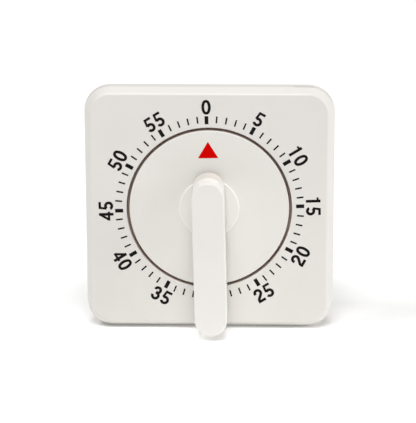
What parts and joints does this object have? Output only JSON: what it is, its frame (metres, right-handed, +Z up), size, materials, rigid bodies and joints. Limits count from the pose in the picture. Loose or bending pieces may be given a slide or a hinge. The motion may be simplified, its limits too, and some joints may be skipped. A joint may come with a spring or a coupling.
{
  "type": "countdown timer",
  "caption": "Square wind-up countdown timer that stands on its base, with a round turning dial, a long lever grip and a clockwork bell movement inside.",
  "frame": {"origin": "middle of the flat base that the timer stands on, half way between the case's front and back faces", "axes": "+X to the viewer's right when facing the dial, +Y from the viewer into the case and out of its flat back, +Z up"},
  "size_m": [0.08, 0.0454, 0.08],
  "materials": {
    "housing": "fine satin moulding",
    "dial": "fine satin moulding",
    "grip": "fine satin moulding",
    "magnet": "ground ferrite",
    "brass": "stamped and cut",
    "steel": "turned",
    "spring_steel": "blued strip",
    "bell": "nickel plated"
  },
  "bodies": {
    "case": {"front_cover": "housing", "rear_shell": "housing", "case_screws": "steel", "magnet": "magnet", "front_plate": "brass", "back_plate": "brass", "plate_pillars": "steel", "plate_screws": "steel", "movement_screws": "steel", "arbor_bush": "brass", "mainspring": "spring_steel", "spring_post": "steel", "bell": "bell", "bell_post": "brass", "bell_screw": "steel", "hammer_spring": "spring_steel"},
    "dial": {"dial_disc": "dial", "lever_knob": "grip", "main_arbor": "steel", "ratchet_wheel": "steel", "alarm_cam": "brass"},
    "power": {"main_wheel": "brass", "click": "steel", "click_rivet": "steel", "click_spring": "spring_steel"},
    "second": {"second_arbor": "steel", "second_wheel": "brass"},
    "third": {"third_arbor": "steel", "third_wheel": "brass"},
    "escape": {"escape_arbor": "steel", "escape_wheel": "brass"},
    "pallets": {"pallet_arbor": "steel", "pallet_fork": "steel"},
    "hammer": {"hammer_arbor": "steel", "hammer_tail": "steel", "hammer_arm": "steel", "hammer_head": "brass"}
  },
  "joints": [
    {"name": "dial_turn", "type": "hinge", "parent": "case", "child": "dial", "pos_m": [0, 0, 0.0405], "axis": [0, 1, 0], "range_deg": [0, 360]},
    {"name": "main_wheel_turn", "type": "hinge", "parent": "case", "child": "power", "pos_m": [0, 0, 0.0405], "axis": [0, 1, 0], "range_deg": [0, 360]},
    {"name": "second_turn", "type": "hinge", "parent": "case", "child": "second", "pos_m": [-0.01597, 0, 0.03469], "axis": [0, 1, 0], "range_deg": [-2700, 0]},
    {"name": "third_turn", "type": "hinge", "parent": "case", "child": "third", "pos_m": [-0.00708, 0, 0.02548], "axis": [0, 1, 0], "range_deg": [0, 18900]},
    {"name": "escape_turn", "type": "hinge", "parent": "case", "child": "escape", "pos_m": [0.00422, 0, 0.02287], "axis": [0, 1, 0], "range_deg": [-118125, 0]},
    {"name": "pallet_rock", "type": "hinge", "parent": "case", "child": "pallets", "pos_m": [0.01221, 0, 0.02578], "axis": [0, 1, 0], "range_deg": [-6, 6]},
    {"name": "hammer_swing", "type": "hinge", "parent": "case", "child": "hammer", "pos_m": [0.014, 0, 0.05], "axis": [0, -1, 0], "range_deg": [0, 6]}
  ],
  "couplings": [
    {"joint": "main_wheel_turn", "follows": "dial_turn", "ratio": 1},
    {"joint": "second_turn", "follows": "dial_turn", "ratio": -7.5},
    {"joint": "third_turn", "follows": "dial_turn", "ratio": 52.5},
    {"joint": "escape_turn", "follows": "dial_turn", "ratio": -328.12}
  ]
}
